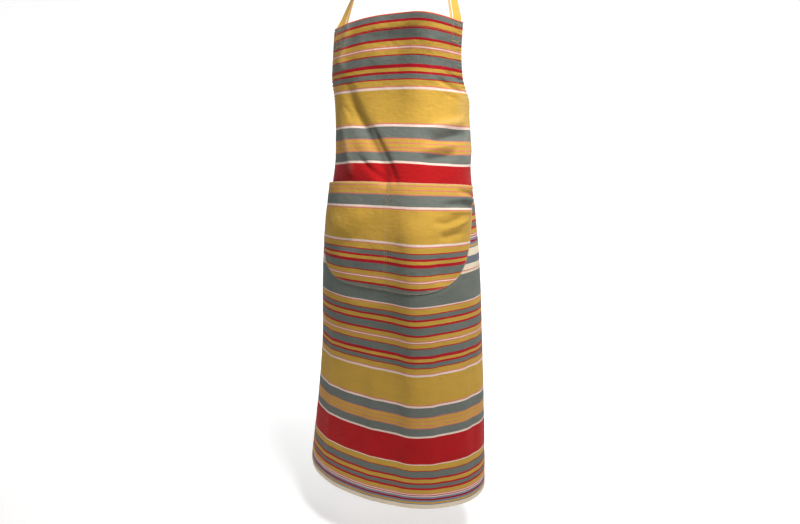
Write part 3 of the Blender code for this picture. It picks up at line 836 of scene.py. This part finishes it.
def band(name, path, outer, width, thickness, seed, nodes, cup=0.0, flutter=0.0005, stitch_ends=(0.0, 0.0),
         gathered=(1.0, 1.0)):
    """A flat sewn tape along a path: rounded edges, a dip at each stitched row, a soft irregular lie.

    gathered is the share of its width left at each end, where a knot squeezes it. Returns the tape, its
    length, and what its stitches need: each edge row's centres, directions and normals.
    """
    path, at = even(np.asarray(path), 0.0028)
    outer = facing_along(outer, len(path))
    tangent = unit(np.gradient(path, axis=0))
    side = unit(np.cross(outer, tangent))
    normal = np.cross(tangent, side)
    free = smooth(0.0, 0.04, at) * smooth(0.0, 0.04, at[-1] - at)
    drift = np.array([noise.noise((a / 0.045, seed, 0.0)) for a in at]) * flutter * 2 * free
    tilt = np.array([noise.noise((a / 0.060, seed, 9.0)) for a in at]) * flutter * 60 * free
    path = path + normal * drift[:, None]
    side, normal = unit(side + normal * tilt[:, None]), unit(normal - side * tilt[:, None])
    narrow = 1 - (1 - gathered[0]) * smooth(0.024, 0.004, at)
    narrow = narrow - (1 - gathered[1]) * smooth(0.024, 0.004, at[-1] - at)
    side = side * narrow[:, None]
    half, row, thick = width / 2, width / 2 - TAPE_ROW, thickness / 2
    flat = np.linspace(-1.0, 1.0, 19) * (half - thick)
    turn = [(thick * math.sin(a), math.cos(a)) for a in np.linspace(0, math.pi, 7)[1:-1]]
    outline = [(x, 1.0) for x in flat] + [(flat[-1] + x, level) for x, level in turn]
    outline += [(x, -1.0) for x in flat[::-1]] + [(flat[0] - x, -level) for x, level in turn]
    points = np.empty((len(path), len(outline), 3))
    cloth = np.empty((len(path), len(outline), 2))
    for k, (x, level) in enumerate(outline):
        off_row = abs(x) - row
        dip = 0.30 * hill(off_row, 0.0009) - 0.10 * (1 - (x / half) ** 2)
        pucker = 0.05 * np.sin(at / STITCH_PITCH * math.tau) * hill(off_row, 0.002)
        height = thick * level * (1 - dip + pucker) + cup * ((x / half) ** 2 - 0.4)
        points[:, k] = path + side * x + normal * height[:, None]
        cloth[:, k] = np.stack([np.full(len(at), x), at + seed], axis=1)
    for k, grow in enumerate((0.0, 0.55, 0.85)):
        for end in (k, len(path) - 1 - k):
            shrink = 0.35 + 0.65 * math.sqrt(1 - (1 - grow) ** 2)
            points[end] = path[end] + (points[end] - path[end]) * shrink
    wear = np.tile([0.6 * (abs(x) / half) ** 6 for x, _ in outline], (len(path), 1))
    obj = grid_mesh(name, points, cloth, STRAP, wear, closed=True)
    close_ends(obj, len(outline))
    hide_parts(*nodes)
    rows = []
    keep = np.arange(stitch_ends[0] + 0.004, at[-1] - stitch_ends[1] - 0.004, STITCH_PITCH)
    for x in (-row, row):
        for face in (1, -1):
            lift = face * (thick * 0.70 + STITCH_RADIUS * 0.3) + cup * ((x / half) ** 2 - 0.4)
            line = path + side * x + normal * lift
            rows.append([resample(keep, at, values) for values in (line, tangent, face * normal)])
    return obj, float(at[-1]), rows


def close_ends(obj, around):
    """Fills each end of a tube, with that many points around it, with one face."""
    shape = bmesh.new()
    shape.from_mesh(obj.data)
    points = list(shape.verts)
    for end in (points[:around][::-1], points[-around:]):
        shape.faces.new(end).smooth = True
    bmesh.ops.recalc_face_normals(shape, faces=shape.faces)
    shape.to_mesh(obj.data)
    shape.free()


def knot_centre():
    return ring(np.array([TIE_V]), np.array([math.pi]))[0] + [0.0, KNOT_RADIUS + 0.002, 0.0]


def strap_point(side, lift, rise):
    return place([side * STRAP_U], [0.0], lift)[0] + [0.0, 0.0, rise]


def make_neck_strap():
    """The neck strap, from the sewn end behind one bib corner, over the nape, to the other."""
    behind = -2 * (CLOTH + GAP) - CLOTH / 2
    tab_drop = -2 * ROLL - SKIN / 2 - TAPE / 2 - 0.0001
    free = [strap_point(-1, behind, STRAP_RISE + 0.004), *NECK_POINTS, (0.0, 0.0, 0.0)]
    free += [(-x, y, z) for x, y, z in reversed(NECK_POINTS)] + [strap_point(1, behind, STRAP_RISE + 0.004)]
    path = curve_through(free, 201)
    outer = facing_along([*NECK_FACING] + [(-x, y, z) for x, y, z in reversed(NECK_FACING[:-1])], 201)
    ends = []
    for side in (-1, 1):
        v = np.arange(STRAP_TAB, 0.0005, -0.003)
        u = np.full(len(v), side * STRAP_U)
        ends.append((surface(panel_base, u, v, tab_drop), surface_normal(panel_base, u, v)))
    path = np.concatenate([ends[0][0], path, ends[1][0][::-1]])
    outer = np.concatenate([ends[0][1], outer, ends[1][1][::-1]])
    lengths = arc_lengths(path)
    at = np.linspace(0.0, lengths[-1], 281)
    path, outer = resample(at, lengths, path), resample(at, lengths, outer)
    sewn = int(STRAP_TAB * 0.85 / (at[1] - at[0]))
    path, outer = [np.concatenate([line[:sewn], relax(line[sewn:-sewn], passes), line[-sewn:]])
                   for line, passes in ((path, 12), (outer, 60))]
    strap, length, rows = band("neck_strap", path, outer, STRAP_WIDTH, TAPE, 1.3,
                               ("neck_loop", "strap_tab_left", "strap_tab_right"), flutter=0.0007)
    thread = sew("neck_strap_stitching", rows, body=None)
    for piece in (strap, thread):
        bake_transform(piece)
    return strap


def make_ties():
    """The waist ties, from their sewn ends inside the skirt's corners to the knot."""
    for label, side in SIDES:
        sewn_u = side * (SKIRT_HALF - TIE_OVERLAP)
        start = float(angle_at(np.array([sewn_u]), np.array([TIE_V]))[0])
        angles = np.linspace(start, side * math.radians(TIE_ANGLE + 3), 90)
        down = np.full(len(angles), TIE_V)
        outer = outward(down, angles)
        path = ring(down, angles) + outer * (-3 * (CLOTH + GAP) + CLOTH / 2)
        path[:, 2] -= 0.004 * np.sin(math.pi * np.linspace(0.0, 1.0, len(angles)))
        tie, length, rows = band("tie_" + label + "_tape", path, outer, TIE_WIDTH, TAPE, 2.1 + side,
                                 ("tie_" + label,), flutter=0.0006, stitch_ends=(0.0, 0.012))
        thread = sew("tie_" + label + "_stitching", rows)
        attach(tie, "apron")


def make_bow():
    """Loops and tails, each on its own body, and all gathered where they enter the knot."""
    knot = knot_centre()
    for label, side in SIDES:
        points = [(0.008, 0.001, 0.006), *BOW_LOOP, (0.008, 0.006, 0.004)]
        path = curve_through([knot + [side * x, y, z] for x, y, z in points], 160)
        facing = [(side * x, y, z) for x, y, z in (BOW_FACING[0], *BOW_FACING, BOW_FACING[-1])]
        body = "bow_loop_" + label
        loop, length, rows = band(body + "_tape", path, relax(facing_along(facing, 160), 10), BOW_WIDTH,
                                  BOW_TAPE, 5.0 + side, (body,), flutter=0.0009, cup=0.0012,
                                  stitch_ends=(0.012, 0.012), gathered=(0.5, 0.5))
        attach(loop, body)
        thread = sew(body + "_stitching", rows, body=body)
        points = [(0.008, 0.003, -0.009), *TIE_TAIL]
        path = curve_through([knot + [side * x, y, z] for x, y, z in points], 120)
        body = "tie_tail_" + label
        tail, length, rows = band(body + "_tape", path, [(0.0, 1.0, 0.0)] * 2, BOW_WIDTH,
                                  BOW_TAPE, 8.0 + side, (body,), flutter=0.0012, cup=0.0008,
                                  stitch_ends=(0.014, 0.0), gathered=(0.5, 1.0))
        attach(tail, body)
        thread = sew(body + "_stitching", rows, body=body)


def make_knot():
    """The knot: gathered tape wrapped round the bow's middle, with its pleats."""
    reach, radius = 0.0128, 0.0108
    x = reach * np.sin(np.linspace(-math.pi / 2, math.pi / 2, 61))[1:-1]
    theta = np.linspace(0.0, math.tau, 72, endpoint=False)
    x, theta = np.meshgrid(x, theta, indexing="ij")
    size = radius * (1 - np.abs(x / reach) ** 2.6) ** (1 / 2.6)
    for where, depth, lean in ((-0.0062, 0.0011, 0.9), (-0.0006, 0.0014, 2.1), (0.0056, 0.0010, 4.0)):
        line = where + 0.0022 * np.sin(theta + lean)
        size -= depth * hill(x - line, 0.0009)
    size += 0.0005 * np.sin(3 * theta + 180 * x)
    tall = 1.12 * (1 + 0.10 * np.cos(2 * theta))
    points = knot_centre() + np.stack([x, size * np.cos(theta), tall * size * np.sin(theta)], axis=-1)
    cloth = np.stack([x, theta * radius], axis=-1)
    obj = grid_mesh("bow_knot_wrap", points, cloth, STRAP, np.full(x.shape, 0.3), closed=True)
    close_ends(obj, x.shape[1])
    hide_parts("bow_knot")
    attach(obj, "apron")


# ---------- sewing and tacks
def bar_tack(name, node, base, start, end, width):
    """Dense satin stitches laid across a short bar."""
    start, end = np.array(start), np.array(end)
    length = np.linalg.norm(end - start)
    along_bar = (end - start) / length
    flat = start + (end - start) * np.linspace(0, 1, int(length / SATIN_PITCH))[:, None]
    ends = flat + np.array([-along_bar[1], along_bar[0]]) * 0.001
    world = surface(base, flat[:, 0], flat[:, 1])
    ahead = surface(base, ends[:, 0], ends[:, 1]) - world
    normals = surface_normal(base, flat[:, 0], flat[:, 1])
    slant = unit(ahead) + unit(np.gradient(world, axis=0)) * 0.12
    centres = world + normals * (SKIN / 2 + 0.00045)
    thread_mesh(name, centres, slant, normals, nodes=(node,), length=width, radius=SATIN_RADIUS)


def sew_all(edges):
    """Every visible row of stitching on the panel and the pocket, front and back."""
    rows = []
    for side in (-1, 1):
        rows += both_faces(inset_line(*edges["armhole", side], EDGE_HEM - 0.003)[8:-4])
    sew("armhole_stitching", rows)
    rows = []
    for side in (-1, 1):
        rows += both_faces(inset_line(*edges["side", side], EDGE_HEM - ROW_INSET))
    sew("side_stitching", rows)
    rows = []
    for name, depth in (("top", TOP_HEM), ("bottom", BOTTOM_HEM)):
        rows += both_faces(inset_line(*edges[name], depth - ROW_INSET))
    sew("hem_stitching", rows)
    outline = inset_line(*edges["pocket"], TAPE_ROW)
    rows = [seam(pocket_base, outline), seam(panel_base, outline, face=-1)]
    for gap in (-CENTRE_ROW, CENTRE_ROW):
        v = np.linspace(POCKET_TOP + 0.003, POCKET_TOP + POCKET_DEPTH - 0.004, 60)
        line = np.stack([np.full(len(v), gap), v], axis=1)
        rows += [seam(pocket_base, line), seam(panel_base, line, face=-1)]
    hem = inset_line(*edges["mouth"], POCKET_HEM - 0.003)[3:-3]
    rows += [seam(pocket_base, hem), seam(pocket_base, hem, face=-1, drop=2 * POCKET_ROLL)]
    sew("pocket_stitching", rows)
    rows = []
    for side in (-1, 1):
        low, high = side * (STRAP_U - BOX_HALF), side * (STRAP_U + BOX_HALF)
        for line in crossed_box(low, high, 0.0065, STRAP_TAB - 0.0045):
            rows += both_faces(line, back=2 * ROLL + TAPE + 0.0002)
        low, high = side * (SKIRT_HALF - TIE_OVERLAP + 0.004), side * (SKIRT_HALF - EDGE_HEM + 0.001)
        for line in crossed_box(low, high, TIE_V - BOX_HALF, TIE_V + BOX_HALF):
            rows.append(seam(panel_base, line))
    sew("strap_end_stitching", rows)


def make_tacks():
    bar_tack("pocket_centre_bar", "pocket_centre_tack", pocket_base, (0.0, POCKET_TOP + 0.004),
             (0.0, POCKET_TOP + 0.028), 0.0024)
    for label, side in SIDES:
        u = side * (POCKET_HALF - TACK_INSET)
        bar_tack("pocket_corner_bar_" + label, "pocket_corner_tack_" + label, pocket_base,
                 (u, POCKET_TOP + 0.003), (u, POCKET_TOP + 0.015), 0.0024)
        u, v = side * STRAP_U, STRAP_TAB - 0.0026
        bar_tack("strap_bar_" + label, "strap_tack_" + label, panel_base, (u - 0.009, v), (u + 0.009, v),
                 0.0020)
        u = side * (SKIRT_HALF - TIE_OVERLAP + TACK_INSET)
        bar_tack("tie_bar_" + label, "tie_tack_" + label, panel_base, (u, TIE_V - 0.009), (u, TIE_V + 0.009),
                 0.0022)


def make_cloth():
    """The panel, the pocket, their hems and all their sewing; returns the panel, its hems, the pocket and
    its hems.
    """
    panel = make_panel()
    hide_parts("front_panel")
    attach(panel, "apron")
    edges = {"top": level_edge(BIB_HALF, 0.0, 1.0, 0.0025),
             "bottom": level_edge(SKIRT_HALF, LENGTH, -1.0, 0.0036),
             "mouth": level_edge(POCKET_HALF, POCKET_TOP, 1.0, 0.0030),
             "pocket": pocket_outline()}
    for side in (-1, 1):
        edges["armhole", side] = armhole_edge(side)
        edges["side", side] = side_edge(side)
    hems = []

    def hem(name, key, depth, under, node, pucker=0.0, slot="striped_cotton"):
        made = make_hem(name, *edges[key], depth, panel_base, ROLL, under, (node,), pucker)
        hems.append(made)

    for label, side in SIDES:
        hem("armhole_edge_" + label, ("armhole", side), EDGE_HEM, 0.0, "armhole_hem_" + label, HEM_PUCKER)
        below = edges["side", side][0][:, 1] - ARMHOLE_DEPTH
        hem("side_edge_" + label, ("side", side), EDGE_HEM, TUCK * smooth(0.024, 0.014, below),
            "side_hem_" + label, HEM_PUCKER)
    near = BIB_HALF - np.abs(edges["top"][0][:, 0])
    hem("top_edge", "top", TOP_HEM, TUCK * smooth(0.018, 0.0125, near), "top_hem", slot="red_cotton")
    near = SKIRT_HALF - np.abs(edges["bottom"][0][:, 0])
    hem("bottom_edge", "bottom", BOTTOM_HEM, TUCK * smooth(0.018, 0.0125, near), "bottom_hem",
        1.5 * HEM_PUCKER, slot="cream_cotton")
    pocket = make_pocket()
    pocket_hems = []
    turned = (("pocket_mouth_hem", "mouth", POCKET_HEM, ("pocket_top_hem",), 0.0002),
              ("pocket_turned_edge", "pocket", POCKET_TURN, (), 0.0))
    for name, key, depth, nodes, under in turned:
        made = make_hem(name, *edges[key], depth, pocket_base, POCKET_ROLL, under, nodes)
        flat = made.data.uv_layers["cloth"].data
        loops = np.empty(len(flat) * 2, dtype=np.float32)
        flat.foreach_get("uv", loops)
        flat.foreach_set("uv", pocket_cloth(loops.reshape(-1, 2).astype(float)).astype(np.float32).ravel())
        pocket_hems.append(made)
    sew_all(edges)
    make_tacks()
    return panel, hems, pocket, pocket_hems


# ---------- studio
FLOOR_LEVEL = -1.35
CAMERA_LENS = 29.28
CAMERA_PLACE = (0.3235, -1.4917, -0.396)
CAMERA_DOWN = 0.1835        # how far it looks down, and to the left, in radians
CAMERA_TURN = 0.2351
# Each light's name, place, target, size, power, colour and spread in degrees.
LIGHTS = (("key", (0.80, -1.10, 0.92), (0.0, -0.15, -0.22), 0.50, 17.5, (1.0, 0.985, 0.96), 95),
          ("fill", (-2.4, -1.6, 0.3), (0.0, 0.0, -0.6), 1.8, 1.5, (0.97, 0.98, 1.0), 180),
          ("back", (-0.4, 1.0, 1.3), (0.0, 3.2, -1.2), 1.4, 36.0, (1.0, 1.0, 1.0), 150))


def make_studio():
    """A pale floor that curves up into a round wall and glows with painted light, brighter behind; a
    window-like key light and soft fill.
    """
    reach, bend, top, turns = 3.4, 1.4, 5.0, 96
    profile = [(0.05, 0.0), (1.2, 0.0), (2.4, 0.0), (reach, 0.0)]
    for angle in np.linspace(0.0, math.pi / 2, 12)[1:]:
        profile.append((reach + bend * math.sin(angle), bend - bend * math.cos(angle)))
    profile.append((reach + bend, top))
    angles = np.linspace(0.0, math.tau, turns, endpoint=False)
    points = [[(r * math.cos(a), r * math.sin(a), FLOOR_LEVEL + z) for a in angles] for r, z in profile]
    points = np.array(points)
    nodes = Nodes("glowing_studio_paper")
    spot = nodes.add("ShaderNodeSeparateXYZ", {0: nodes.add("ShaderNodeTexCoord").outputs["Object"]})
    # The paper glows: painted light, dim in front of the apron and brighter behind it, which also fills the
    # cloth.
    glow = {"Value": spot.outputs[1], "From Min": -2.2, "From Max": 1.4, "To Min": 0.06, "To Max": 0.42}
    glow = nodes.add("ShaderNodeMapRange", glow, interpolation_type="SMOOTHSTEP").outputs["Result"]
    plain = {"Roughness": 0.9, "Base Color": (0.86, 0.86, 0.86, 1.0), "Emission Color": (1.0, 1.0, 1.0, 1.0)}
    glowing_paper = nodes.finish({"Emission Strength": glow}, plain)
    faces = grid_faces(points.shape, True) + [list(range(turns))]
    floor = add_mesh("studio_floor", points, faces, glowing_paper)
    world = bpy.data.worlds.new("studio_air")
    world.use_nodes = True
    air = world.node_tree.nodes["Background"].inputs
    air["Color"].default_value = (1.0, 1.0, 1.0, 1.0)
    air["Strength"].default_value = 0.04
    bpy.context.scene.world = world
    for name, spot, target, size, power, colour, spread in LIGHTS:
        light = bpy.data.lights.new(name, "AREA")
        light.spread = math.radians(spread)
        light.size = size
        light.energy = power
        light.color = colour
        lamp = show(name, light)
        lamp.location = spot
        lamp.rotation_euler = (Vector(target) - Vector(spot)).to_track_quat("-Z", "Y").to_euler()


def make_camera():
    """A camera to the right of the middle, level with the waist, that looks down and to the left."""
    camera = bpy.data.cameras.new("camera")
    camera.lens = CAMERA_LENS
    camera.sensor_width = 36.0
    camera.dof.use_dof = False
    holder = show("camera", camera)
    holder.location = CAMERA_PLACE
    holder.rotation_euler = (math.pi / 2 - CAMERA_DOWN, 0.0, CAMERA_TURN)
    bpy.context.scene.camera = holder


# ---------- the scene
panel, hems, pocket, pocket_hems = make_cloth()
strap = make_neck_strap()
make_ties()
make_knot()
make_bow()
make_studio()
make_camera()
bpy.context.scene.view_settings.view_transform = "Standard"
